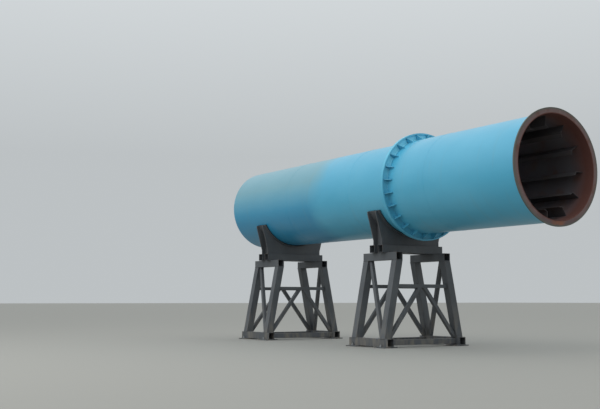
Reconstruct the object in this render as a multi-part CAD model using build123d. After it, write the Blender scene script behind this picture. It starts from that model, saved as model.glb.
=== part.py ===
from build123d import *
import os
from math import atan2, cos, degrees, hypot, radians, sin, tan

# The drum of a rotary drum dryer, held level on two saddle stands.
# Millimetres. X runs along the drum with the open, ringed mouth at +X, Z is up,
# and the origin is on the ground under the middle of the whole length.

# Drum shell, rolled from flat plate in courses that are welded end to end
DRUM_LENGTH = 9400.0
SHELL_OD = 1832.0
SHELL_PLATE = 16.0
COURSE_COUNT = 4
AXIS_HEIGHT = 3100.0

# Flat ring slipped over the open end, flush with the shell's edge
MOUTH_RING_PLATE = 25.0
MOUTH_RING_FACE = 84.0

# Girder ring round the shell: a web, a rim, and gussets on both sides, the first one starting
# a share of a pitch from the top because of how the drum is turned
RING_DISTANCE = 3390.0
GIRDER_HEIGHT = 139.0
RIM_WIDTH = 70.0
RIM_PLATE = 30.0
WEB_PLATE = 20.0
GUSSET_COUNT = 24
GUSSET_PLATE = 12.0
GUSSET_FOOT = 150.0
GUSSET_TOE = 25.0
GUSSET_START = 0.73

# Lifting flights: plates along the inner wall with a bent lip
FLIGHT_ROWS = 12
FLIGHT_PLATE = 8.0
FLIGHT_HEIGHT = 170.0
FLIGHT_LIP = 80.0
FLIGHT_LIP_ANGLE = 60.0
FLIGHT_END_GAP = 60.0
MOUTH_CLEAR = 230.0

# Saddles under the shell, and where the two stands are
NEAR_STAND_FROM_RING = 560.0
FAR_STAND_FROM_END = 1150.0
LINER_THICKNESS = 20.0
LINER_WIDTH = 360.0
SADDLE_PLATE = 16.0
SADDLE_WIDTH = 400.0
SADDLE_ARC = 120.0
SADDLE_WEB_PLATE = 20.0
SADDLE_WEB_SPACING = 260.0
SADDLE_WEB_DEPTH = 180.0
SADDLE_WEB_FOOT = 1440.0
HORN_EDGE = 45.0
RIB_PLATE = 14.0
RIB_SPACING = 310.0
RIB_COUNT = 5

# Braced frame of each stand, from square hollow sections
BEAM_SIZE = 150.0
BEAM_WALL = 8.0
CROSS_BEAM_END = 40.0
LEG_INSET = 120.0
LEG_SPREAD = 300.0
LEG_SPACING = 900.0
RAIL_OVERHANG = 75.0
SILL_OVERHANG = 160.0
TIE_SIZE = 100.0
TIE_WALL = 6.0
BRACE_SIZE = 70.0
BRACE_WALL = 5.0
BRACE_DROP = 500.0
STRUT_GAP = 10.0
FOOT_SIZE = 320.0
FOOT_PLATE = 20.0
ANCHOR_HOLE_D = 26.0
ANCHOR_OFFSET = 115.0

MOUTH_X = DRUM_LENGTH / 2
COURSE_LENGTH = DRUM_LENGTH / COURSE_COUNT
SHELL_R = SHELL_OD / 2
SHELL_INNER_R = SHELL_R - SHELL_PLATE

RING_X = MOUTH_X - RING_DISTANCE
RIM_R = SHELL_R + GIRDER_HEIGHT
RIM_INNER_R = RIM_R - RIM_PLATE

NEAR_STAND_X = RING_X - NEAR_STAND_FROM_RING
FAR_STAND_X = FAR_STAND_FROM_END - DRUM_LENGTH / 2
LINER_R = SHELL_R + LINER_THICKNESS
SADDLE_R = LINER_R + SADDLE_PLATE
SADDLE_WEB_Z = AXIS_HEIGHT - SADDLE_R - SADDLE_WEB_DEPTH
CROSS_BEAM_LENGTH = SADDLE_WEB_FOOT + 2 * CROSS_BEAM_END
CROSS_BEAM_Z = SADDLE_WEB_Z - BEAM_SIZE
RAIL_Z = CROSS_BEAM_Z - BEAM_SIZE
SILL_TOP_Z = FOOT_PLATE + BEAM_SIZE
LEG_HEIGHT = RAIL_Z - SILL_TOP_Z
LEG_MIDDLE_Z = (RAIL_Z + SILL_TOP_Z) / 2
LEG_TOP_Y = SADDLE_WEB_FOOT / 2 - LEG_INSET
LEG_FOOT_Y = LEG_TOP_Y + LEG_SPREAD
LEG_MIDDLE_Y = (LEG_TOP_Y + LEG_FOOT_Y) / 2
LEG_LENGTH = hypot(LEG_HEIGHT, LEG_SPREAD)
LEG_LEAN = degrees(atan2(LEG_SPREAD, LEG_HEIGHT))
LEG_STATIONS = (-LEG_SPACING / 2, LEG_SPACING / 2)
SIDES = (-1, 1)


def save(name, shape):
    """Write one node's solids to its own file."""
    export_step(shape, f"parts/{name}.step")


def plane_across(x, z=0.0):
    """A drawing plane square to the drum, seen from the mouth: Y to the right, Z up."""
    return Plane(origin=(x, 0, z), x_dir=(0, 1, 0), z_dir=(1, 0, 0))


def ring(start, length, outer_r, inner_r):
    """A plain ring or pipe on the drum's axis, from start towards the mouth."""
    with BuildPart() as part:
        with BuildSketch(plane_across(start, AXIS_HEIGHT)):
            Circle(outer_r)
            Circle(inner_r, mode=Mode.SUBTRACT)
        extrude(amount=length)
    return part.part


def plate_across(x, thickness, outline):
    """An upright plate square to the drum, centred on x, from its outline in Y and Z."""
    with BuildPart() as plate:
        with BuildSketch(plane_across(x)):
            with BuildLine():
                Polyline(outline, close=True)
            make_face()
        extrude(amount=thickness / 2, both=True)
    return plate.part


def turned(shape, angle):
    """A copy turned about the drum's axis."""
    return shape.rotate(Axis((0, 0, AXIS_HEIGHT), (1, 0, 0)), angle)


def spaced_round(shape, count, start=0.0):
    """Equally spaced copies round the drum's axis; start is the first one's share of a pitch."""
    return Compound([turned(shape, (i + start) * 360 / count) for i in range(count)])


def shell_course(index):
    """One rolled course; the first ends at the mouth."""
    start = MOUTH_X - (index + 1) * COURSE_LENGTH
    return ring(start, COURSE_LENGTH, SHELL_R, SHELL_INNER_R)


def gussets(side):
    """Tapered plates from the girder's web out to its rim and along the shell; side 1 is the mouth's."""
    face_x = RING_X + side * WEB_PLATE / 2
    toe_x = face_x + side * GUSSET_FOOT
    rim_x = RING_X + side * RIM_WIDTH / 2
    top_r = (RIM_INNER_R**2 - (GUSSET_PLATE / 2) ** 2) ** 0.5
    outline = [
        (face_x, AXIS_HEIGHT + SHELL_R),
        (toe_x, AXIS_HEIGHT + SHELL_R),
        (toe_x, AXIS_HEIGHT + SHELL_R + GUSSET_TOE),
        (rim_x, AXIS_HEIGHT + top_r),
        (face_x, AXIS_HEIGHT + top_r),
    ]
    with BuildPart() as gusset:
        with BuildSketch(Plane.XZ):
            with BuildLine():
                Polyline(outline, close=True)
            make_face()
        extrude(amount=GUSSET_PLATE / 2, both=True)
    return spaced_round(gusset.part, GUSSET_COUNT, GUSSET_START)


def flights(index):
    """Lifting flights of one course, half a pitch round from those of the next."""
    course_end = MOUTH_X - index * COURSE_LENGTH
    front = course_end - (MOUTH_CLEAR if index == 0 else FLIGHT_END_GAP)
    back = course_end - COURSE_LENGTH + FLIGHT_END_GAP
    root_z = AXIS_HEIGHT + (SHELL_INNER_R**2 - FLIGHT_PLATE**2) ** 0.5
    knee_z = AXIS_HEIGHT + SHELL_INNER_R - FLIGHT_HEIGHT
    lean = radians(FLIGHT_LIP_ANGLE)
    lip_y = FLIGHT_LIP * sin(lean)
    lip_z = knee_z - FLIGHT_LIP * cos(lean)
    outline = [
        (0, root_z),
        (0, knee_z),
        (lip_y, lip_z),
        (lip_y + FLIGHT_PLATE * cos(lean), lip_z + FLIGHT_PLATE * sin(lean)),
        (FLIGHT_PLATE, knee_z + FLIGHT_PLATE * tan(lean / 2)),
        (FLIGHT_PLATE, root_z),
    ]
    flight = plate_across((front + back) / 2, front - back, outline)
    return spaced_round(flight, FLIGHT_ROWS, 0.5 * (index % 2))


def saddle_arc(centre_x, width, outer_r, inner_r):
    """A band that cradles the bottom of the drum over the saddle's angle."""
    section = Plane(origin=(centre_x, 0, AXIS_HEIGHT), x_dir=(1, 0, 0), z_dir=(0, -1, 0))
    with BuildPart() as band:
        with BuildSketch(section):
            with Locations((0, -(outer_r + inner_r) / 2)):
                Rectangle(width, outer_r - inner_r)
        revolve(axis=Axis((0, 0, AXIS_HEIGHT), (1, 0, 0)), revolution_arc=SADDLE_ARC)
    return turned(band.part, -SADDLE_ARC / 2)


def saddle_space(centre_x):
    """The round space over a stand that the saddle band fills with the drum."""
    return Location((centre_x, 0, AXIS_HEIGHT), (0, 90, 0)) * Cylinder(SADDLE_R, 2 * SADDLE_WIDTH)


def saddle_webs(centre_x):
    """Two upright plates with hollowed tops and spread horns, under the saddle band."""
    half_arc = radians(SADDLE_ARC / 2)
    horn_y = (SADDLE_R + HORN_EDGE) * sin(half_arc)
    horn_z = AXIS_HEIGHT - SADDLE_R * cos(half_arc)
    foot_y = SADDLE_WEB_FOOT / 2
    shoulder_z = SADDLE_WEB_Z + SADDLE_WEB_DEPTH / 2
    right_edge = [
        (foot_y, SADDLE_WEB_Z),
        (foot_y, shoulder_z),
        (horn_y, horn_z - HORN_EDGE),
        (horn_y, horn_z),
    ]
    left_edge = [(-y, z) for y, z in reversed(right_edge)]
    webs = []
    for side in SIDES:
        x = centre_x + side * SADDLE_WEB_SPACING / 2
        plate = plate_across(x, SADDLE_WEB_PLATE, right_edge + left_edge)
        webs.append((plate - saddle_space(centre_x)).solid())
    return Compound(webs)


def saddle_ribs(centre_x):
    """Upright stiffeners between the two webs, up to the underside of the saddle band."""
    width = SADDLE_WEB_SPACING - SADDLE_WEB_PLATE
    height = AXIS_HEIGHT - SADDLE_WEB_Z
    ribs = []
    for i in range(RIB_COUNT):
        y = (i - (RIB_COUNT - 1) / 2) * RIB_SPACING
        block = Location((centre_x, y, SADDLE_WEB_Z + height / 2)) * Box(width, RIB_PLATE, height)
        ribs.append((block - saddle_space(centre_x)).solids().sort_by(Axis.Z)[0])
    return Compound(ribs)


def square_tube(length, size, wall):
    """A square hollow section along X, centred on the origin."""
    return Box(length, size, size) - Box(length, size - 2 * wall, size - 2 * wall)


def cross_pair(centre_x, spacing, z, length, size, wall):
    """Two hollow sections across the stand, spaced along it."""
    beam = square_tube(length, size, wall)
    return Compound([Location((centre_x + side * spacing / 2, 0, z), (0, 0, 90)) * beam for side in SIDES])


def side_pair(centre_x, y, z, length):
    """Two hollow sections along the stand, one each side."""
    beam = square_tube(length, BEAM_SIZE, BEAM_WALL)
    return Compound([Location((centre_x, side * y, z)) * beam for side in SIDES])


def leaning(shape, centre_x, side):
    """Move an upright shape into the plane of a pair of legs, which leans outwards at the foot."""
    return shape.rotate(Axis.X, side * LEG_LEAN).translate((centre_x, side * LEG_MIDDLE_Y, LEG_MIDDLE_Z))


def legs(centre_x):
    """Four leaning hollow legs, cut level between the top rails and the sills."""
    tube = square_tube(2 * LEG_LENGTH, BEAM_SIZE, BEAM_WALL).rotate(Axis.Y, 90)
    level_cut = Location((centre_x, 0, LEG_MIDDLE_Z)) * Box(
        2 * LEG_SPACING, 4 * LEG_FOOT_Y, LEG_HEIGHT
    )
    return Compound(
        [(leaning(tube, centre_x + dx, side) & level_cut).solid() for dx in LEG_STATIONS for side in SIDES]
    )


def end_braces(centre_x):
    """In each end frame a level strut between the legs, and two struts from it down to the leg feet."""
    half_leg = BEAM_SIZE / 2 / cos(radians(LEG_LEAN))
    foot_y = LEG_FOOT_Y - half_leg
    top_y = LEG_TOP_Y - half_leg
    level_z = RAIL_Z - BRACE_DROP
    strut_height = level_z - BRACE_SIZE / 2 - SILL_TOP_Z
    strut_lean = degrees(atan2(foot_y - BRACE_SIZE, strut_height))
    strut_z = SILL_TOP_Z + strut_height / 2
    bay_outline = [(-foot_y, SILL_TOP_Z), (foot_y, SILL_TOP_Z), (top_y, RAIL_Z), (-top_y, RAIL_Z)]
    level = square_tube(2 * foot_y, BRACE_SIZE, BRACE_WALL).rotate(Axis.Z, 90)
    strut = square_tube(2 * LEG_LENGTH, BRACE_SIZE, BRACE_WALL).rotate(Axis.Y, 90)
    braces = []
    for dx in LEG_STATIONS:
        x = centre_x + dx
        bay = plate_across(x, BRACE_SIZE, bay_outline)
        braces.append((level.translate((x, 0, level_z)) & bay).solid())
        for side in SIDES:
            strut_y = side * (foot_y + BRACE_SIZE) / 2
            placed = strut.rotate(Axis.X, side * strut_lean).translate((x, strut_y, strut_z))
            half_bay = Location((x, side * (foot_y + STRUT_GAP) / 2, strut_z)) * Box(
                BRACE_SIZE, foot_y, strut_height
            )
            braces.append((placed & bay & half_bay).solid())
    return Compound(braces)


def side_braces(centre_x):
    """One diagonal in each leaning side frame, from a leg's foot to the other leg's head."""
    clear_x = LEG_SPACING - BEAM_SIZE
    slant = degrees(atan2(clear_x - BRACE_SIZE, LEG_LENGTH - BRACE_SIZE))
    side_bay = Location((centre_x, 0, LEG_MIDDLE_Z)) * Box(clear_x, 4 * LEG_FOOT_Y, LEG_HEIGHT)
    bar = square_tube(2 * LEG_LENGTH, BRACE_SIZE, BRACE_WALL)
    return Compound(
        [
            (leaning(bar.rotate(Axis.Y, 90 + side * slant), centre_x, side) & side_bay).solid()
            for side in SIDES
        ]
    )


def foot_plates(centre_x):
    """Four square plates on the ground, each with one anchor hole outside its sill."""
    plates = []
    for dx in LEG_STATIONS:
        for side in SIDES:
            plate = Box(FOOT_SIZE, FOOT_SIZE, FOOT_PLATE)
            hole = Location((0, side * ANCHOR_OFFSET, 0)) * Cylinder(ANCHOR_HOLE_D / 2, FOOT_PLATE)
            plates.append(Location((centre_x + dx, side * LEG_FOOT_Y, FOOT_PLATE / 2)) * (plate - hole))
    return Compound(plates)


def save_stand(name, centre_x):
    """One saddle stand, from the liner under the drum down to the feet."""
    rail_length = LEG_SPACING + 2 * RAIL_OVERHANG
    sill_length = LEG_SPACING + 2 * SILL_OVERHANG
    sill_z = FOOT_PLATE + BEAM_SIZE / 2
    tie_length = 2 * LEG_FOOT_Y - BEAM_SIZE
    beam_z = CROSS_BEAM_Z + BEAM_SIZE / 2
    save(f"{name}_saddle_liner", saddle_arc(centre_x, LINER_WIDTH, LINER_R, SHELL_R))
    save(f"{name}_saddle_band", saddle_arc(centre_x, SADDLE_WIDTH, SADDLE_R, LINER_R))
    save(f"{name}_saddle_webs", saddle_webs(centre_x))
    save(f"{name}_saddle_ribs", saddle_ribs(centre_x))
    save(
        f"{name}_cross_beams",
        cross_pair(centre_x, SADDLE_WEB_SPACING, beam_z, CROSS_BEAM_LENGTH, BEAM_SIZE, BEAM_WALL),
    )
    save(f"{name}_top_rails", side_pair(centre_x, LEG_TOP_Y, RAIL_Z + BEAM_SIZE / 2, rail_length))
    save(f"{name}_legs", legs(centre_x))
    save(f"{name}_end_braces", end_braces(centre_x))
    save(f"{name}_side_braces", side_braces(centre_x))
    save(f"{name}_sills", side_pair(centre_x, LEG_FOOT_Y, sill_z, sill_length))
    save(f"{name}_cross_ties", cross_pair(centre_x, LEG_SPACING, sill_z, tie_length, TIE_SIZE, TIE_WALL))
    save(f"{name}_foot_plates", foot_plates(centre_x))


os.makedirs("parts", exist_ok=True)

for course in range(COURSE_COUNT):
    save(f"shell_course_{course + 1}", shell_course(course))
    save(f"lifting_flights_{course + 1}", flights(course))

save("mouth_ring", ring(MOUTH_X - MOUTH_RING_PLATE, MOUTH_RING_PLATE, SHELL_R + MOUTH_RING_FACE, SHELL_R))
save("ring_web", ring(RING_X - WEB_PLATE / 2, WEB_PLATE, RIM_INNER_R, SHELL_R))
save("ring_rim", ring(RING_X - RIM_WIDTH / 2, RIM_WIDTH, RIM_R, RIM_INNER_R))
save("ring_gussets_mouth_side", gussets(1))
save("ring_gussets_far_side", gussets(-1))

save_stand("near_stand", NEAR_STAND_X)
save_stand("far_stand", FAR_STAND_X)
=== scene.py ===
import math

import bpy
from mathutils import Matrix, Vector


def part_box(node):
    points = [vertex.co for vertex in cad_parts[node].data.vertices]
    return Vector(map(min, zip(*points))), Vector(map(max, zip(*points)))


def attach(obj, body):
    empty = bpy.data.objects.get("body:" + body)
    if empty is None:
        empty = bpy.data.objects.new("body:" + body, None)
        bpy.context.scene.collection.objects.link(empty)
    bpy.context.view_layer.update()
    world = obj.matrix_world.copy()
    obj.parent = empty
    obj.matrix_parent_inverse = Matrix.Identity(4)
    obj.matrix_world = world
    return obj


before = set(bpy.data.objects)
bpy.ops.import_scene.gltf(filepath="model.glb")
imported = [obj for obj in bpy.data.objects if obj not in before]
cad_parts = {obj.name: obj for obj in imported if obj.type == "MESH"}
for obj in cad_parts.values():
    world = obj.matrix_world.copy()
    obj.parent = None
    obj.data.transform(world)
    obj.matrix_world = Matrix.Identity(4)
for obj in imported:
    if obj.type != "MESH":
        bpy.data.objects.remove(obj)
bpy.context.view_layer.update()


# Drum shell
# Four courses of rolled 16 mm plate, welded end to end. The outside is sprayed with sky-blue enamel,
# an older chalky coat on top of the far end, with painted shade darkening the far end's underside.
# Inside and on the cut ends is primer, painted paler deeper in as painted light.
SHELL_PLATE = 0.016
course_names = [f"shell_course_{number}" for number in (1, 2, 3, 4)]
shell_low, shell_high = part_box(course_names[0])
shell_radius = (shell_high.y - shell_low.y) / 2
inner_radius = shell_radius - SHELL_PLATE
axis_height = (shell_high.z + shell_low.z) / 2
shell_end = shell_high.x


def colour(red, green, blue):
    """A colour given as it looks on a screen, from 0 to 255, in the linear values that a shader takes."""
    def linear(value):
        share = value / 255
        return share / 12.92 if share <= 0.04045 else ((share + 0.055) / 1.055) ** 2.4

    return (linear(red), linear(green), linear(blue), 1.0)


def feed(tree, node, sockets):
    """Give each of these inputs of a node its value, or link it to the output that feeds it."""
    for key, value in sockets.items():
        if isinstance(value, bpy.types.NodeSocket):
            tree.links.new(value, node.inputs[key])
        else:
            node.inputs[key].default_value = value


def add_node(tree, kind, sockets=None, **settings):
    """A node with its settings and its inputs."""
    made = tree.nodes.new(kind)
    for setting, value in settings.items():
        setattr(made, setting, value)
    feed(tree, made, sockets or {})
    return made


def new_group(name, kind, inputs, outputs):
    """An empty node group with named sockets, what its inputs give, and the node that takes its results."""
    group = bpy.data.node_groups.new(name, kind)
    for label, (socket_kind, value) in inputs.items():
        socket = group.interface.new_socket(label, in_out="INPUT", socket_type=socket_kind)
        if value is not None:
            socket.default_value = value
    for label, socket_kind in outputs.items():
        group.interface.new_socket(label, in_out="OUTPUT", socket_type=socket_kind)
    return group, group.nodes.new("NodeGroupInput").outputs, group.nodes.new("NodeGroupOutput")


def calculated(tree, operation, *values):
    """What one operation makes of values or outputs."""
    return add_node(tree, "ShaderNodeMath", dict(enumerate(values)), operation=operation).outputs[0]


def multiplied(tree, one, other):
    """What two masks have in common."""
    return calculated(tree, "MULTIPLY", one, other)


def scaled(tree, value, start, full, at_start=0.0, at_full=1.0):
    """A value that goes from one level to another between its start and where it is full."""
    return add_node(
        tree,
        "ShaderNodeMapRange",
        {"Value": value, "From Min": start, "From Max": full, "To Min": at_start, "To Max": at_full},
    ).outputs["Result"]


def between(tree, mask, at_none, at_full):
    """A mask turned into a value between two others."""
    return scaled(tree, mask, 0.0, 1.0, at_none, at_full)


def mixed(tree, share, under, over):
    """One colour laid over another by a share from 0 to 1."""
    return add_node(
        tree, "ShaderNodeMix", {0: share, 6: under, 7: over}, data_type="RGBA"
    ).outputs[2]


def object_place(tree):
    """Where a point of a piece is, in metres."""
    return add_node(tree, "ShaderNodeTexCoord").outputs["Object"]


def split(tree, vector):
    """A vector's X, Y and Z."""
    return add_node(tree, "ShaderNodeSeparateXYZ", {"Vector": vector}).outputs


def drum_place_group():
    """Where a point of the drum is: its distance from the axis, and its place on the unrolled plate."""
    group, given, result = new_group(
        "place_on_drum",
        "ShaderNodeTree",
        {"Axis height": ("NodeSocketFloat", 0.0), "Plate radius": ("NodeSocketFloat", 1.0)},
        {
            "Distance": "NodeSocketFloat",
            "Along": "NodeSocketFloat",
            "Height": "NodeSocketFloat",
            "Unrolled": "NodeSocketVector",
        },
    )
    parts = split(group, object_place(group))
    height = calculated(group, "SUBTRACT", parts["Z"], given["Axis height"])
    across = add_node(group, "ShaderNodeCombineXYZ", {"X": parts["Y"], "Y": height}).outputs[0]
    distance = add_node(group, "ShaderNodeVectorMath", {0: across}, operation="LENGTH").outputs["Value"]
    turn = calculated(group, "ARCTAN2", parts["Y"], height)
    girth = calculated(group, "MULTIPLY", turn, given["Plate radius"])
    unrolled = add_node(group, "ShaderNodeCombineXYZ", {"X": parts["X"], "Y": girth, "Z": distance})
    place = {
        "Distance": distance,
        "Along": parts["X"],
        "Height": height,
        "Unrolled": unrolled.outputs[0],
    }
    feed(group, result, place)
    return group


drum_place = drum_place_group()


def place_on_drum(tree):
    """The drum place group placed in a material."""
    return add_node(
        tree,
        "ShaderNodeGroup",
        {"Axis height": axis_height, "Plate radius": shell_radius},
        node_tree=drum_place,
    ).outputs


def patches_group():
    """Cloudy patches, or runs where they are stretched one way: none below Low, full above High."""
    group, given, result = new_group(
        "cloudy_patches",
        "ShaderNodeTree",
        {
            "Vector": ("NodeSocketVector", None),
            "Stretch": ("NodeSocketVector", (1.0, 1.0, 1.0)),
            "Detail": ("NodeSocketFloat", 4.0),
            "Low": ("NodeSocketFloat", 0.45),
            "High": ("NodeSocketFloat", 0.65),
        },
        {"Mask": "NodeSocketFloat", "Grain": "NodeSocketFloat"},
    )
    stretched = add_node(
        group, "ShaderNodeVectorMath", {0: given["Vector"], 1: given["Stretch"]}, operation="MULTIPLY"
    ).outputs[0]
    grain = add_node(
        group,
        "ShaderNodeTexNoise",
        {"Vector": stretched, "Scale": 1.0, "Detail": given["Detail"], "Roughness": 0.55},
    ).outputs["Fac"]
    mask = add_node(
        group,
        "ShaderNodeMapRange",
        {"Value": grain, "From Min": given["Low"], "From Max": given["High"]},
        interpolation_type="SMOOTHSTEP",
    ).outputs["Result"]
    feed(group, result, {"Mask": mask, "Grain": grain})
    return group


cloudy_patches = patches_group()


def patches(tree, vector, stretch, low, high, detail=4.0):
    """The cloudy patches group placed in a material, with its stretch in patches to a metre."""
    return add_node(
        tree,
        "ShaderNodeGroup",
        {"Vector": vector, "Stretch": stretch, "Low": low, "High": high, "Detail": detail},
        node_tree=cloudy_patches,
    ).outputs


ENAMEL = colour(70, 166, 199)
PALER_ENAMEL = colour(84, 173, 204)
# Painted shade: a deeper blue under the far end stands for the shade there.
FAR_PAINTED_SHADE_ENAMEL = colour(36, 136, 178)
CHALKED_ENAMEL = colour(116, 146, 144)
DIRTY_RUNS = colour(120, 140, 142)
CLOUDS_PER_METRE = (0.5, 0.7, 1.0)
RUNS_PER_METRE = (7.0, 0.6, 1.0)

# Places along are metres from the drum's middle, heights are metres above its axis, and depths are
# metres in from its ends. Each effect has the place where it starts and the one where it is full.
FAR_COAT_STARTS = -0.4
FAR_COAT_FULL = -0.85
FAR_COAT_RAGGED = 1.2
PAINTED_SHADE_BELOW = 0.3
FULLY_PAINTED_SHADE_BELOW = -0.4
CHALKED_ABOVE = -0.2
FULLY_CHALKED_ABOVE = 0.35
PAINTED_LIGHT_DEPTH = 0.9
FULL_PAINTED_LIGHT_DEPTH = 2.3
END_PRIMER_DEPTH = 0.5
FULL_END_PRIMER_DEPTH = 0.15


def enamel_group():
    """Enamel colour: uneven, chalky on top of the far end, darker under it as painted shade, dirty runs."""
    group, given, result = new_group(
        "sky_blue_enamel",
        "ShaderNodeTree",
        {
            "Unrolled": ("NodeSocketVector", None),
            "Along": ("NodeSocketFloat", 0.0),
            "Height": ("NodeSocketFloat", 0.0),
            "Painted shade": ("NodeSocketFloat", 0.9),
            "Chalked": ("NodeSocketFloat", 0.55),
            "Dirty": ("NodeSocketFloat", 0.16),
        },
        {"Colour": "NodeSocketColor"},
    )
    height = given["Height"]
    uneven = patches(group, given["Unrolled"], CLOUDS_PER_METRE, low=0.35, high=0.75)
    runs = patches(group, given["Unrolled"], RUNS_PER_METRE, low=0.52, high=0.8)
    ragged = calculated(group, "MULTIPLY_ADD", uneven["Grain"], FAR_COAT_RAGGED, given["Along"])
    far_coat = scaled(group, ragged, FAR_COAT_STARTS, FAR_COAT_FULL)
    # Painted shade: the far end is coloured darker below its axis.
    painted_shade_below = scaled(group, height, PAINTED_SHADE_BELOW, FULLY_PAINTED_SHADE_BELOW, at_full=given["Painted shade"])
    chalked = scaled(group, height, CHALKED_ABOVE, FULLY_CHALKED_ABOVE, at_full=given["Chalked"])
    dirty = between(group, runs["Mask"], 0.0, given["Dirty"])
    enamel = mixed(group, uneven["Mask"], ENAMEL, PALER_ENAMEL)
    enamel = mixed(group, multiplied(group, painted_shade_below, far_coat), enamel, FAR_PAINTED_SHADE_ENAMEL)
    enamel = mixed(group, multiplied(group, chalked, far_coat), enamel, CHALKED_ENAMEL)
    feed(group, result, {"Colour": mixed(group, dirty, enamel, DIRTY_RUNS)})
    return group


sky_blue_enamel = enamel_group()


def enamelled(tree, place):
    """The sky-blue enamel group placed in a material."""
    return add_node(
        tree,
        "ShaderNodeGroup",
        {"Unrolled": place["Unrolled"], "Along": place["Along"], "Height": place["Height"]},
        node_tree=sky_blue_enamel,
    ).outputs["Colour"]


def painted_light_group():
    """Painted light inside the drum, a paler coat for light: none near its ends, its most in the middle."""
    group, given, result = new_group(
        "painted_light_inside_drum",
        "ShaderNodeTree",
        {
            "Along": ("NodeSocketFloat", 0.0),
            "Light starts at": ("NodeSocketFloat", 1.0),
            "Light full at": ("NodeSocketFloat", 0.0),
            "Most": ("NodeSocketFloat", 1.0),
        },
        {"From middle": "NodeSocketFloat", "Painted light": "NodeSocketFloat"},
    )
    from_middle = calculated(group, "ABSOLUTE", given["Along"])
    dust_and_painted_light = scaled(group, from_middle, given["Light starts at"], given["Light full at"], at_full=given["Most"])
    feed(group, result, {"From middle": from_middle, "Painted light": dust_and_painted_light})
    return group


painted_light_inside_drum = painted_light_group()


def inside_painted_light(tree, along, most):
    """The painted light group for the drum's inside, placed in a material."""
    light_starts_at = shell_end - PAINTED_LIGHT_DEPTH
    light_full_at = shell_end - FULL_PAINTED_LIGHT_DEPTH
    return add_node(
        tree,
        "ShaderNodeGroup",
        {"Along": along, "Light starts at": light_starts_at, "Light full at": light_full_at, "Most": most},
        node_tree=painted_light_inside_drum,
    ).outputs


def new_material(name):
    """A material, its tree and its shader."""
    material = bpy.data.materials.new(name)
    material.use_nodes = True
    return material, material.node_tree, material.node_tree.nodes["Principled BSDF"]


def wavy(tree, height, depth):
    """The normal of a surface with waves that many metres deep, from a height between 0 and 1."""
    return add_node(
        tree, "ShaderNodeBump", {"Strength": 1.0, "Distance": depth, "Height": height}
    ).outputs["Normal"]


WALL_PRIMER = colour(102, 98, 103)
WALL_RUST = colour(106, 86, 80)
# Painted light: a paler primer deeper inside the drum stands for light there.
WALL_PAINTED_LIGHT = colour(156, 154, 166)
END_PRIMER = colour(98, 60, 52)
CUT_SKIN = 0.0005


def shell_paint():
    """Enamel outside, and primer where the plate faces the drum's inside or is cut."""
    material, tree, shader = new_material("shell_enamel")
    place = place_on_drum(tree)
    rusty = patches(tree, place["Unrolled"], (3.0, 3.0, 1.0), low=0.45, high=0.7)
    waves = patches(tree, place["Unrolled"], (1.6, 2.2, 1.0), low=0.0, high=1.0, detail=1.0)
    dust_and_painted_light = inside_painted_light(tree, place["Along"], most=0.9)
    from_middle = dust_and_painted_light["From middle"]
    near_end = scaled(tree, from_middle, shell_end - END_PRIMER_DEPTH, shell_end - FULL_END_PRIMER_DEPTH)
    primer = mixed(tree, rusty["Mask"], WALL_PRIMER, WALL_RUST)
    # Painted light: the primer turns paler deeper inside.
    primer = mixed(tree, dust_and_painted_light["Painted light"], primer, WALL_PAINTED_LIGHT)
    primer = mixed(tree, near_end, primer, END_PRIMER)
    inner_wall = calculated(tree, "LESS_THAN", place["Distance"], shell_radius - SHELL_PLATE / 2)
    cut_end = calculated(tree, "GREATER_THAN", from_middle, shell_end - CUT_SKIN)
    bare = calculated(tree, "MAXIMUM", inner_wall, cut_end)
    finish = {
        "Base Color": mixed(tree, bare, enamelled(tree, place), primer),
        "Roughness": between(tree, bare, 0.4, 0.85),
        "Coat Weight": between(tree, bare, 0.3, 0.0),
        "Coat Roughness": 0.3,
        "Normal": wavy(tree, waves["Grain"], depth=0.01),
    }
    feed(tree, shader, finish)
    return material


def dress(name, material):
    """Give a CAD piece its finish."""
    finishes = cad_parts[name].data.materials
    finishes.clear()
    finishes.append(material)


sky_blue = shell_paint()
for name in course_names:
    dress(name, sky_blue)


# Welds of the shell
# A butt weld goes round the drum at each joint of two courses, inside and outside. Each course is
# closed by one long weld, high on the far side, and these are set a step apart from course to course.
SEAM_BEAD = 0.007
SEAM_SUNK = 0.003
LONG_SEAM_TURNS = (-42, -68, -42, -68)
HOOP_STEPS = 144
RIPPLE = 0.02
BEAD_SIDES = 6


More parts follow.
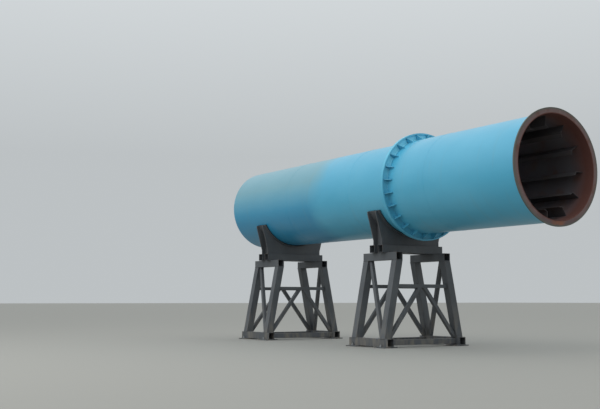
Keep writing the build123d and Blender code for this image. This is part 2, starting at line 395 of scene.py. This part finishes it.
def weld_tree():
    """A weld laid along paths: an uneven round bead, sunk in the corner or joint that it fills."""
    group, given, result = new_group(
        "weld_along_paths",
        "GeometryNodeTree",
        {
            "Paths": ("NodeSocketGeometry", None),
            "Bead radius": ("NodeSocketFloat", SEAM_BEAD),
            "Ripple length": ("NodeSocketFloat", RIPPLE),
            "Thinnest": ("NodeSocketFloat", 0.82),
            "Thickest": ("NodeSocketFloat", 1.12),
            "Seed": ("NodeSocketInt", 3),
            "Finish": ("NodeSocketMaterial", None),
        },
        {"Welds": "NodeSocketGeometry"},
    )
    group.is_modifier = True
    path = add_node(group, "GeometryNodeMeshToCurve", {"Mesh": given["Paths"]})
    steps = add_node(
        group,
        "GeometryNodeResampleCurve",
        {"Curve": path.outputs["Curve"], "Length": given["Ripple length"]},
        mode="LENGTH",
    )
    swell = add_node(
        group,
        "FunctionNodeRandomValue",
        {2: given["Thinnest"], 3: given["Thickest"], "Seed": given["Seed"]},
        data_type="FLOAT",
    )
    section = add_node(
        group,
        "GeometryNodeCurvePrimitiveCircle",
        {"Resolution": BEAD_SIDES, "Radius": given["Bead radius"]},
    )
    bead = add_node(
        group,
        "GeometryNodeCurveToMesh",
        {
            "Curve": steps.outputs["Curve"],
            "Profile Curve": section.outputs["Curve"],
            "Scale": swell.outputs[1],
            "Fill Caps": True,
        },
    )
    smooth = add_node(group, "GeometryNodeSetShadeSmooth", {"Geometry": bead.outputs["Mesh"]})
    real = add_node(group, "GeometryNodeRealizeInstances", {"Geometry": smooth.outputs["Geometry"]})
    painted = add_node(
        group,
        "GeometryNodeSetMaterial",
        {"Geometry": real.outputs["Geometry"], "Material": given["Finish"]},
    )
    feed(group, result, {"Welds": painted.outputs["Geometry"]})
    return group


weld_along_paths = weld_tree()


def put_in_scene(name, data):
    """An object made from a mesh, a light or a camera."""
    made = bpy.data.objects.new(name, data)
    bpy.context.scene.collection.objects.link(made)
    return made


def make_by_tree(name, mesh, tree, values):
    """Make a piece by a tree from a mesh, as a plain mesh that rides on the part."""
    piece = put_in_scene(name, mesh)
    modifier = piece.modifiers.new(tree.name, "NODES")
    modifier.node_group = tree
    sockets = {item.name: item.identifier for item in tree.interface.items_tree if item.in_out == "INPUT"}
    for label, value in values.items():
        modifier[sockets[label]] = value
    finished = bpy.data.meshes.new_from_object(piece.evaluated_get(bpy.context.evaluated_depsgraph_get()))
    piece.modifiers.clear()
    piece.data = finished
    finished.name = name
    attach(piece, "root")


def weld(name, paths, bead, finish):
    """Weld along paths, each a list of points and whether it closes."""
    corners = []
    edges = []
    for points, closes in paths:
        first = len(corners)
        last = first + len(points) - 1
        corners.extend(points)
        edges.extend((step, step + 1) for step in range(first, last))
        if closes:
            edges.append((last, first))
    mesh = bpy.data.meshes.new(f"{name}_paths")
    mesh.from_pydata(corners, edges, [])
    make_by_tree(name, mesh, weld_along_paths, {"Bead radius": bead, "Finish": finish})


def on_drum(along, distance, turn, aside=0.0):
    """A point at a distance from the drum's axis, turned from the top by some degrees, and moved aside."""
    sine = math.sin(math.radians(turn))
    cosine = math.cos(math.radians(turn))
    return (along, aside * cosine - distance * sine, axis_height + aside * sine + distance * cosine)


def hoop(along, distance):
    """A closed path round the drum."""
    return [on_drum(along, distance, 360 * step / HOOP_STEPS) for step in range(HOOP_STEPS)], True


joints = [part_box(name)[0].x for name in course_names[:-1]]
long_seams = [
    ([on_drum(end.x, shell_radius - SEAM_SUNK, turn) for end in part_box(name)], False)
    for name, turn in zip(course_names, LONG_SEAM_TURNS)
]
outer_seams = [hoop(along, shell_radius - SEAM_SUNK) for along in joints] + long_seams
inner_seams = [hoop(along, inner_radius + SEAM_SUNK) for along in joints]
weld("shell_seam_welds", outer_seams, SEAM_BEAD, sky_blue)
weld("inner_seam_welds", inner_seams, SEAM_BEAD, sky_blue)


# Mouth ring
# A flat plate ring slipped over the open end, flush with it, and welded behind and in front. Its front
# is brown primer, rusty and darker at its foot as painted shade, its edge is greyed and its back is
# sprayed blue.
MOUTH_BEAD = 0.009
FRONT_BEAD = 0.005
RING_PRIMER = colour(108, 88, 86)
RING_RUST = colour(100, 66, 52)
RING_SCUFFS = colour(126, 108, 102)
# Painted shade: the ring's foot is coloured darker to stand for shade.
RING_FOOT_PAINTED_SHADE = colour(80, 66, 71)
FRESH_RUST = colour(128, 82, 62)
GREYED_PRIMER = colour(90, 89, 82)
OVERSPRAY = colour(90, 173, 213)
RING_SHADE_BELOW = -0.75
FULLY_RING_SHADE_BELOW = -0.95
FRESH_RUST_BELOW = 0.0
FULL_FRESH_RUST_BELOW = -0.2
FRESH_RUST_ASIDE = 0.2
FULL_FRESH_RUST_ASIDE = 0.08
GREYED_BAND = 0.036
FULLY_GREYED_BAND = 0.016
ring_low, ring_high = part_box("mouth_ring")
mouth_ring_radius = (ring_high.y - ring_low.y) / 2


def all_ways(per_metre):
    """The same stretch along, across and up."""
    return (per_metre, per_metre, per_metre)


def mouth_primer():
    """Brown primer with rust and painted shade at its foot, greyed on the ring's outer edge, blue on its
    back.
    """
    material, tree, shader = new_material("brown_primer")
    place = place_on_drum(tree)
    position = object_place(tree)
    rust = patches(tree, position, all_ways(4.0), low=0.5, high=0.66)
    scuffs = patches(tree, position, all_ways(14.0), low=0.58, high=0.68)
    blotches = patches(tree, position, all_ways(9.0), low=0.3, high=0.55)
    # Painted shade towards the bottom of the ring.
    foot_shade = scaled(tree, place["Height"], RING_SHADE_BELOW, FULLY_RING_SHADE_BELOW, at_full=0.65)
    low_down = scaled(tree, place["Height"], FRESH_RUST_BELOW, FULL_FRESH_RUST_BELOW)
    aside = calculated(tree, "ABSOLUTE", split(tree, position)["Y"])
    near_middle = scaled(tree, aside, FRESH_RUST_ASIDE, FULL_FRESH_RUST_ASIDE)
    fresh_rust = multiplied(tree, multiplied(tree, near_middle, low_down), blotches["Mask"])
    greyed_from = mouth_ring_radius - GREYED_BAND
    edge = scaled(tree, place["Distance"], greyed_from, mouth_ring_radius - FULLY_GREYED_BAND)
    facing = add_node(tree, "ShaderNodeNewGeometry").outputs["Normal"]
    back = scaled(tree, split(tree, facing)["X"], start=-0.4, full=-0.6)
    primer = mixed(tree, between(tree, rust["Mask"], 0.0, 0.6), RING_PRIMER, RING_RUST)
    primer = mixed(tree, between(tree, scuffs["Mask"], 0.0, 0.4), primer, RING_SCUFFS)
    primer = mixed(tree, foot_shade, primer, RING_FOOT_PAINTED_SHADE)
    primer = mixed(tree, fresh_rust, primer, FRESH_RUST)
    primer = mixed(tree, edge, primer, GREYED_PRIMER)
    finish = {
        "Base Color": mixed(tree, back, primer, OVERSPRAY),
        "Roughness": scaled(tree, rust["Grain"], 0.3, 0.7, at_start=0.62, at_full=0.85),
        "Normal": wavy(tree, scuffs["Grain"], depth=0.001),
    }
    feed(tree, shader, finish)
    return material


brown_primer = mouth_primer()
dress("mouth_ring", brown_primer)
weld("mouth_ring_back_weld", [hoop(ring_low.x, shell_radius)], MOUTH_BEAD, sky_blue)
front_seam = [hoop(ring_high.x - SEAM_SUNK, shell_radius)]
weld("mouth_ring_front_weld", front_seam, FRONT_BEAD, brown_primer)


# Lifting flights
# Plates with a bent lip that stand on the inner wall in twelve rows a course, to lift and drop what is
# dried. They are stitch-welded along both faces of the root, and their dark primer is painted paler
# deeper in as painted light.
FLIGHT_ROWS = 12
FLIGHT_PLATE = 0.008
STITCH = 0.08
STITCH_PITCH = 0.32
STITCH_BEAD = 0.006
FLIGHT_PRIMER = colour(72, 70, 73)
FLIGHT_RUST = colour(80, 70, 67)
STREAKED_DUST = colour(98, 93, 91)
# Painted light: the flights' primer is paler deeper inside to stand for light there.
FLIGHT_PAINTED_LIGHT = colour(146, 144, 154)
flight_names = [f"lifting_flights_{number}" for number in (1, 2, 3, 4)]


def flight_primer():
    """Dark primer with loose rust, streaks of dust, and painted light that makes it paler deeper inside."""
    material, tree, shader = new_material("dark_primer")
    position = object_place(tree)
    rust = patches(tree, position, all_ways(3.0), low=0.45, high=0.7)
    streaks = patches(tree, position, (0.8, 5.0, 5.0), low=0.55, high=0.8)
    # Painted light: paler deeper inside.
    dust_and_painted_light = inside_painted_light(tree, split(tree, position)["X"], most=0.7)
    primer = mixed(tree, rust["Mask"], FLIGHT_PRIMER, FLIGHT_RUST)
    primer = mixed(tree, between(tree, streaks["Mask"], 0.0, 0.35), primer, STREAKED_DUST)
    finish = {
        "Base Color": mixed(tree, dust_and_painted_light["Painted light"], primer, FLIGHT_PAINTED_LIGHT),
        "Roughness": 0.85,
        "Normal": wavy(tree, rust["Grain"], depth=0.001),
    }
    feed(tree, shader, finish)
    return material


def stitches(flights, shift):
    """Short welds at the root of one course's flights, by turns on one face and on the other."""
    low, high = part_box(flights)
    paths = []
    for row in range(FLIGHT_ROWS):
        turn = (row + shift) * 360 / FLIGHT_ROWS
        for face, lead in ((0.0, STITCH), (FLIGHT_PLATE, STITCH + STITCH_PITCH / 2)):
            start = low.x + lead
            while start + STITCH < high.x:
                ends = [on_drum(x, inner_radius, turn, face) for x in (start, start + STITCH)]
                paths.append((ends, False))
                start += STITCH_PITCH
    return paths


dark_primer = flight_primer()
all_stitches = []
for course, name in enumerate(flight_names):
    dress(name, dark_primer)
    all_stitches += stitches(name, 0.5 * (course % 2))
weld("flight_stitch_welds", all_stitches, STITCH_BEAD, dark_primer)


# Girder ring
# A web plate, a flat rim and 24 gussets on each side, fillet-welded to the shell. Their enamel is
# painted paler in the upper pockets as painted light, rubbed pale at the edges with a painted highlight
# along the lower edges, chipped, and painted darker on the gussets as painted shade.
GUSSETS = 24
GUSSET_START = 0.73
GUSSET_PLATE = 0.012
RIM_PLATE = 0.03
FILLET_BEAD = 0.009
GUSSET_BEAD = 0.007
# Painted light: the upper pockets are coloured paler to stand for light in them.
POCKET_PAINTED_LIGHT = colour(140, 224, 245)
# Wear and a painted highlight: edges are rubbed pale, most strongly along the lower edges.
RUBBED_AND_HIGHLIGHT_ENAMEL = colour(160, 202, 210)
CHIPPED_TO_PRIMER = colour(104, 74, 64)
# Painted shade: the gussets and their welds are coloured darker to stand for shade on them.
GUSSET_PAINTED_SHADE = colour(46, 126, 156)
POCKET_LIGHT_ABOVE = -0.3
FULLY_POCKET_LIGHT_ABOVE = 0.5
RUBBED_AND_HIGHLIGHT_BELOW = 0.1
FULLY_RUBBED_AND_HIGHLIGHT_BELOW = -0.3
POCKETS_END_PAST_RIM_UNDERSIDE = 0.004
POCKETS_FULL_PAST_RIM_UNDERSIDE = 0.001
RING_WEAR_REACH = 0.009
GUSSET_WEAR_REACH = 0.003
RING_WEAR_PER_METRE = 3.0
web_low, web_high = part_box("ring_web")
rim_low, rim_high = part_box("ring_rim")
rim_underside = (rim_high.y - rim_low.y) / 2 - RIM_PLATE


def edge_wear_group():
    """Where a corner of the metal is near, found from how far the normal is rounded off there."""
    group, given, result = new_group(
        "worn_edges",
        "ShaderNodeTree",
        {"Reach": ("NodeSocketFloat", 0.01), "Patchiness": ("NodeSocketFloat", 9.0)},
        {"Mask": "NodeSocketFloat", "Rounded": "NodeSocketVector"},
    )
    rounded = add_node(group, "ShaderNodeBevel", {"Radius": given["Reach"]}, samples=4).outputs["Normal"]
    facing = add_node(group, "ShaderNodeNewGeometry").outputs["Normal"]
    same = add_node(group, "ShaderNodeVectorMath", {0: rounded, 1: facing}, operation="DOT_PRODUCT")
    broken = add_node(
        group,
        "ShaderNodeTexNoise",
        {"Vector": object_place(group), "Scale": given["Patchiness"], "Detail": 5.0},
    )
    near_corner = scaled(group, same.outputs["Value"], start=0.97, full=0.75)
    unbroken = scaled(group, broken.outputs["Fac"], start=0.48, full=0.6)
    feed(group, result, {"Mask": multiplied(group, near_corner, unbroken), "Rounded": rounded})
    return group


worn_edges = edge_wear_group()


def worn(tree, reach, patchiness):
    """The edge wear group placed in a material."""
    return add_node(
        tree, "ShaderNodeGroup", {"Reach": reach, "Patchiness": patchiness}, node_tree=worn_edges
    ).outputs


def ring_paint():
    """Enamel with painted light in upper pockets, pale rubbed edges, a painted highlight on lower ones,
    chips.
    """
    material, tree, shader = new_material("ring_enamel")
    place = place_on_drum(tree)
    position = object_place(tree)
    edges = worn(tree, RING_WEAR_REACH, RING_WEAR_PER_METRE)
    chips = patches(tree, position, all_ways(11.0), low=0.6, high=0.64)
    uneven = patches(tree, position, all_ways(1.7), low=0.35, high=0.65)
    upper_side = scaled(tree, place["Height"], POCKET_LIGHT_ABOVE, FULLY_POCKET_LIGHT_ABOVE)
    lower_side = scaled(tree, place["Height"], RUBBED_AND_HIGHLIGHT_BELOW, FULLY_RUBBED_AND_HIGHLIGHT_BELOW, at_start=0.25)
    pockets_end = rim_underside + POCKETS_END_PAST_RIM_UNDERSIDE
    pockets_full = rim_underside + POCKETS_FULL_PAST_RIM_UNDERSIDE
    pockets = scaled(tree, place["Distance"], pockets_end, pockets_full, at_start=0.3)
    # Painted light in the upper pockets.
    pocket_light = multiplied(tree, between(tree, uneven["Mask"], 0.8, 1.0), pockets)
    coat = mixed(tree, multiplied(tree, pocket_light, upper_side), enamelled(tree, place), POCKET_PAINTED_LIGHT)
    # Edge wear everywhere, with a painted highlight added on the lower edges.
    coat = mixed(tree, multiplied(tree, edges["Mask"], lower_side), coat, RUBBED_AND_HIGHLIGHT_ENAMEL)
    coat = mixed(tree, multiplied(tree, edges["Mask"], chips["Mask"]), coat, CHIPPED_TO_PRIMER)
    finish = {
        "Base Color": coat,
        "Roughness": between(tree, edges["Mask"], 0.42, 0.6),
        "Normal": edges["Rounded"],
    }
    feed(tree, shader, finish)
    return material


def gusset_paint():
    """The same enamel, painted darker in uneven patches as painted shade."""
    material, tree, shader = new_material("gusset_enamel")
    place = place_on_drum(tree)
    gusset_shade_patches = patches(tree, place["Unrolled"], all_ways(4.0), low=0.3, high=0.7)
    # Painted shade on the gussets.
    gusset_shade = between(tree, gusset_shade_patches["Mask"], 0.15, 0.4)
    finish = {
        "Base Color": mixed(tree, gusset_shade, enamelled(tree, place), GUSSET_PAINTED_SHADE),
        "Roughness": 0.45,
        "Normal": worn(tree, GUSSET_WEAR_REACH, RING_WEAR_PER_METRE)["Rounded"],
    }
    feed(tree, shader, finish)
    return material


ring_blue = ring_paint()
for name in ("ring_web", "ring_rim"):
    dress(name, ring_blue)
gusset_shade_blue = gusset_paint()
for name in ("ring_gussets_mouth_side", "ring_gussets_far_side"):
    dress(name, gusset_shade_blue)


def gusset_fillets(web_face, rim_edge, toe):
    """Down from the rim's edge along the web and out to the toe, on both faces of each gusset."""
    corners = (
        (rim_edge, rim_underside),
        (web_face, rim_underside),
        (web_face, shell_radius),
        (toe, shell_radius),
    )
    paths = []
    for number in range(GUSSETS):
        turn = (number + GUSSET_START) * 360 / GUSSETS
        for face in (-GUSSET_PLATE / 2, GUSSET_PLATE / 2):
            paths.append(([on_drum(x, distance, turn, face) for x, distance in corners], False))
    return paths


mouth_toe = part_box("ring_gussets_mouth_side")[1].x
far_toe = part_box("ring_gussets_far_side")[0].x
web_sides = (web_low.x, web_high.x)
web_fillets = [hoop(x, distance) for x in web_sides for distance in (shell_radius, rim_underside)]
mouth_side_fillets = gusset_fillets(web_high.x, rim_high.x, mouth_toe)
far_side_fillets = gusset_fillets(web_low.x, rim_low.x, far_toe)
weld("ring_web_welds", web_fillets, FILLET_BEAD, ring_blue)
weld("mouth_side_gusset_welds", mouth_side_fillets, GUSSET_BEAD, gusset_shade_blue)
weld("far_side_gusset_welds", far_side_fillets, GUSSET_BEAD, gusset_shade_blue)


# Saddle liners
# Strips of black rubber, a little dusty, that lie on the saddle bands under the drum and keep its
# paint from being crushed.
STANDS = ("near_stand", "far_stand")
RUBBER = colour(30, 30, 31)
RUBBER_DUST = colour(70, 68, 64)


def liner_rubber():
    """Matt black rubber, a little dusty."""
    material, tree, shader = new_material("liner_rubber")
    dust_and_painted_light = patches(tree, object_place(tree), all_ways(6.0), low=0.4, high=0.8)
    dusty = between(tree, dust_and_painted_light["Mask"], 0.0, 0.5)
    feed(tree, shader, {"Base Color": mixed(tree, dusty, RUBBER, RUBBER_DUST), "Roughness": 0.9})
    return material


rubber = liner_rubber()
for stand in STANDS:
    dress(f"{stand}_saddle_liner", rubber)


# Saddle stands
# Each is a curved band on two webs and five ribs, on a leaning frame of square hollow sections. All
# of it is welded and painted dark grey, worn at the edges and dusty near the ground.
STAND_PARTS = (
    "saddle_band",
    "saddle_webs",
    "saddle_ribs",
    "cross_beams",
    "top_rails",
    "legs",
    "end_braces",
    "side_braces",
    "sills",
    "cross_ties",
    "foot_plates",
)
STAND_ENAMEL = colour(70, 74, 78)
PALER_STAND_ENAMEL = colour(82, 86, 90)
STAND_DUST = colour(128, 121, 110)
STAND_RUST = colour(96, 66, 50)
STAND_DUST_TOP = 0.9
STAND_WEAR_REACH = 0.01
STAND_WEAR_PER_METRE = 9.0


def stand_paint():
    """Dark grey enamel, bare rusty steel at worn edges, and pale dust on the lower parts."""
    material, tree, shader = new_material("dark_grey_enamel")
    position = object_place(tree)
    uneven = patches(tree, position, all_ways(1.5), low=0.35, high=0.7)
    splashes = patches(tree, position, (9.0, 9.0, 2.0), low=0.4, high=0.7)
    edges = worn(tree, STAND_WEAR_REACH, STAND_WEAR_PER_METRE)
    height = split(tree, position)["Z"]
    low_down = scaled(tree, height, STAND_DUST_TOP, 0.0, at_start=0.05, at_full=0.75)
    dusty = multiplied(tree, low_down, splashes["Mask"])
    enamel = mixed(tree, uneven["Mask"], STAND_ENAMEL, PALER_STAND_ENAMEL)
    enamel = mixed(tree, dusty, enamel, STAND_DUST)
    finish = {
        "Base Color": mixed(tree, edges["Mask"], enamel, STAND_RUST),
        "Roughness": between(tree, dusty, 0.45, 0.8),
        "Normal": edges["Rounded"],
    }
    feed(tree, shader, finish)
    return material


dark_grey = stand_paint()
for stand in STANDS:
    for part in STAND_PARTS:
        dress(f"{stand}_{part}", dark_grey)


# Welds of the stands
# Fillets where the saddle's webs meet its band and the beams, and all round each tube that stands
# on another, painted over with the stand.
STAND_BEAD = 0.007
SADDLE_ARC = 120
ARC_STEPS = 48
WEB_PLATE = 0.02
WEB_FOOT = 1.44
TUBE = 0.15
TIE = 0.1
SQUARE_CORNERS = ((-1, -1), (1, -1), (1, 1), (-1, 1))


def web_faces(webs):
    """Where both faces of each of a saddle's two webs are, along the drum."""
    low, high = webs
    return (low.x, low.x + WEB_PLATE, high.x - WEB_PLATE, high.x)


def band_arcs(webs, band):
    """Under the saddle band, on both faces of each web."""
    distance = axis_height - band[0].z
    turns = [180 + SADDLE_ARC * (step / ARC_STEPS - 0.5) for step in range(ARC_STEPS + 1)]
    return [([on_drum(x, distance, turn) for turn in turns], False) for x in web_faces(webs)]


def web_foot_lines(webs):
    """Along the foot of each web, on both of its faces."""
    foot = webs[0].z
    return [([(x, -WEB_FOOT / 2, foot), (x, WEB_FOOT / 2, foot)], False) for x in web_faces(webs)]


def level_square(x, y, z, long=TUBE, wide=TUBE):
    """A closed path round a level foot or head of a tube."""
    return [(x + along * long / 2, y + across * wide / 2, z) for along, across in SQUARE_CORNERS], True


def upright_square(x, y, z, size):
    """A closed path round the end of a tube that runs across the stand."""
    return [(x + along * size / 2, y, z + up * size / 2) for along, up in SQUARE_CORNERS], True


def frame_welds(stand):
    """Round every joint of one stand's tubes."""
    beams, rails, legs, sills, ties, feet = (
        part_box(f"{stand}_{part}")
        for part in ("cross_beams", "top_rails", "legs", "sills", "cross_ties", "foot_plates")
    )
    middle = (legs[0].x + legs[1].x) / 2
    leg_reach = (legs[1].x - legs[0].x - TUBE) / 2
    beam_reach = (beams[1].x - beams[0].x - TUBE) / 2
    rail_y = rails[1].y - TUBE / 2
    sill_y = sills[1].y - TUBE / 2
    lean = math.atan2(sill_y - rail_y, rails[0].z - sills[1].z)
    leg_width = TUBE / math.cos(lean)
    foot = (feet[1].x - middle - leg_reach) * 2
    tie_height = (ties[0].z + ties[1].z) / 2
    paths = []
    for end in (-1, 1):
        leg_x = middle + end * leg_reach
        for side in (-1, 1):
            paths.append(level_square(middle + end * beam_reach, side * rail_y, rails[1].z))
            paths.append(level_square(leg_x, side * rail_y, rails[0].z, wide=leg_width))
            paths.append(level_square(leg_x, side * sill_y, sills[1].z, wide=leg_width))
            paths.append(level_square(leg_x, side * sill_y, sills[0].z, long=foot))
            paths.append(upright_square(leg_x, side * ties[1].y, tie_height, TIE))
    return paths


for stand in STANDS:
    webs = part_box(f"{stand}_saddle_webs")
    saddle_paths = band_arcs(webs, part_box(f"{stand}_saddle_band")) + web_foot_lines(webs)
    weld(f"{stand}_saddle_welds", saddle_paths, STAND_BEAD, dark_grey)
    weld(f"{stand}_frame_welds", frame_welds(stand), STAND_BEAD, dark_grey)


# Anchor bolts
# One galvanised M24 bolt stands up through each foot plate, outside the sill, with a round washer
# and a hexagon nut.
ANCHOR_ASIDE = 0.115
STUD_SIDES = 24
WASHER_SIDES = 32
NUT_SIDES = 6
ZINC = colour(150, 153, 155)
ZINC_BLOOM = colour(176, 178, 178)


def anchor_bolt_tree():
    """A stud, a washer and a nut on each point."""
    group, given, result = new_group(
        "anchor_bolts",
        "GeometryNodeTree",
        {
            "Places": ("NodeSocketGeometry", None),
            "Stud radius": ("NodeSocketFloat", 0.012),
            "Stud length": ("NodeSocketFloat", 0.045),
            "Washer radius": ("NodeSocketFloat", 0.022),
            "Washer thickness": ("NodeSocketFloat", 0.004),
            "Nut corner radius": ("NodeSocketFloat", 0.0208),
            "Nut height": ("NodeSocketFloat", 0.0215),
            "Finish": ("NodeSocketMaterial", None),
        },
        {"Bolts": "NodeSocketGeometry"},
    )
    group.is_modifier = True

    def turned_piece(sides, radius, depth, base):
        """A round or six-sided piece that stands at a height above the plate."""
        middle = calculated(group, "ADD", calculated(group, "MULTIPLY", depth, 0.5), base)
        lift = add_node(group, "ShaderNodeCombineXYZ", {"Z": middle}).outputs[0]
        solid = add_node(
            group, "GeometryNodeMeshCylinder", {"Vertices": sides, "Radius": radius, "Depth": depth}
        )
        return add_node(
            group,
            "GeometryNodeTransform",
            {"Geometry": solid.outputs["Mesh"], "Translation": lift},
        ).outputs["Geometry"]

    washer_top = given["Washer thickness"]
    stud = turned_piece(STUD_SIDES, given["Stud radius"], given["Stud length"], 0.0)
    washer = turned_piece(WASHER_SIDES, given["Washer radius"], washer_top, 0.0)
    nut = turned_piece(NUT_SIDES, given["Nut corner radius"], given["Nut height"], washer_top)
    joined = add_node(group, "GeometryNodeJoinGeometry")
    for piece in (stud, washer, nut):
        group.links.new(piece, joined.inputs["Geometry"])
    placed = add_node(
        group,
        "GeometryNodeInstanceOnPoints",
        {"Points": given["Places"], "Instance": joined.outputs["Geometry"]},
    )
    real = add_node(group, "GeometryNodeRealizeInstances", {"Geometry": placed.outputs["Instances"]})
    finished = add_node(
        group,
        "GeometryNodeSetMaterial",
        {"Geometry": real.outputs["Geometry"], "Material": given["Finish"]},
    )
    feed(group, result, {"Bolts": finished.outputs["Geometry"]})
    return group


def galvanised_steel():
    """Dull zinc with a faint bloom."""
    material, tree, shader = new_material("galvanised_steel")
    bloom = patches(tree, object_place(tree), all_ways(60.0), low=0.4, high=0.7)
    zinc_colour = mixed(tree, bloom["Mask"], ZINC, ZINC_BLOOM)
    feed(tree, shader, {"Base Color": zinc_colour, "Metallic": 0.85, "Roughness": 0.5})
    return material


anchor_bolts = anchor_bolt_tree()
zinc = galvanised_steel()
for stand in STANDS:
    legs_low, legs_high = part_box(f"{stand}_legs")
    sills_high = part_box(f"{stand}_sills")[1]
    plate_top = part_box(f"{stand}_foot_plates")[1].z
    bolt_y = sills_high.y - TUBE / 2 + ANCHOR_ASIDE
    bolt_places = [
        (x, side * bolt_y, plate_top)
        for x in (legs_low.x + TUBE / 2, legs_high.x - TUBE / 2)
        for side in (-1, 1)
    ]
    places = bpy.data.meshes.new(f"{stand}_bolt_places")
    places.from_pydata(bolt_places, [], [])
    make_by_tree(f"{stand}_anchor_bolts", places, anchor_bolts, {"Finish": zinc})


# Floor, light and camera
# A plain pale floor under an even sky that is brighter overhead, and one broad soft light beside and
# above the drum. The camera stands low, off the open end, and looks slightly up along the drum.
FLOOR_SIDE = 600.0
PALE_FLOOR = colour(150, 148, 142)
PALE_SKY = colour(240, 246, 249)
HORIZON_LIGHT = 0.58
OVERHEAD_LIGHT = 1.3
HORIZON_BAND = 0.15
OVERHEAD_BAND = 0.9
SOFTBOX_PLACE = Vector((1.0, -13.0, 11.0))
SOFTBOX_SIDE = 14.0
SOFTBOX_POWER = 840.0
CAMERA_PLACE = (15.581, -12.114, 0.886)
CAMERA_TURN = 57.12
CAMERA_UP = 5.75
LENS = 57.3
FARTHEST_SEEN = 2000.0

floor_mesh = bpy.data.meshes.new("floor")
reach = FLOOR_SIDE / 2
floor_mesh.from_pydata([(x * reach, y * reach, 0) for x, y in SQUARE_CORNERS], [], [(0, 1, 2, 3)])
floor = put_in_scene("floor", floor_mesh)
floor_finish, floor_tree, floor_shader = new_material("pale_floor")
feed(floor_tree, floor_shader, {"Base Color": PALE_FLOOR, "Roughness": 0.9})
floor_mesh.materials.append(floor_finish)

world = bpy.data.worlds.new("pale_sky")
world.use_nodes = True
sky = world.node_tree
direction = add_node(sky, "ShaderNodeTexCoord").outputs["Generated"]
upwards = split(sky, direction)["Z"]
strength = scaled(sky, upwards, HORIZON_BAND, OVERHEAD_BAND, HORIZON_LIGHT, OVERHEAD_LIGHT)
feed(sky, sky.nodes["Background"], {"Color": PALE_SKY, "Strength": strength})
bpy.context.scene.world = world

softbox = bpy.data.lights.new("softbox", "AREA")
softbox.size = SOFTBOX_SIDE
softbox.energy = SOFTBOX_POWER
softbox_stand = put_in_scene("softbox", softbox)
softbox_stand.location = SOFTBOX_PLACE
towards_drum = Vector((0.0, 0.0, axis_height)) - SOFTBOX_PLACE
softbox_stand.rotation_euler = towards_drum.to_track_quat("-Z", "X").to_euler()

bpy.context.scene.view_settings.view_transform = "Standard"
lens = bpy.data.cameras.new("camera")
lens.lens = LENS
lens.clip_end = FARTHEST_SEEN
camera = put_in_scene("camera", lens)
camera.location = CAMERA_PLACE
camera.rotation_euler = (math.radians(90 + CAMERA_UP), 0.0, math.radians(CAMERA_TURN))
bpy.context.scene.camera = camera
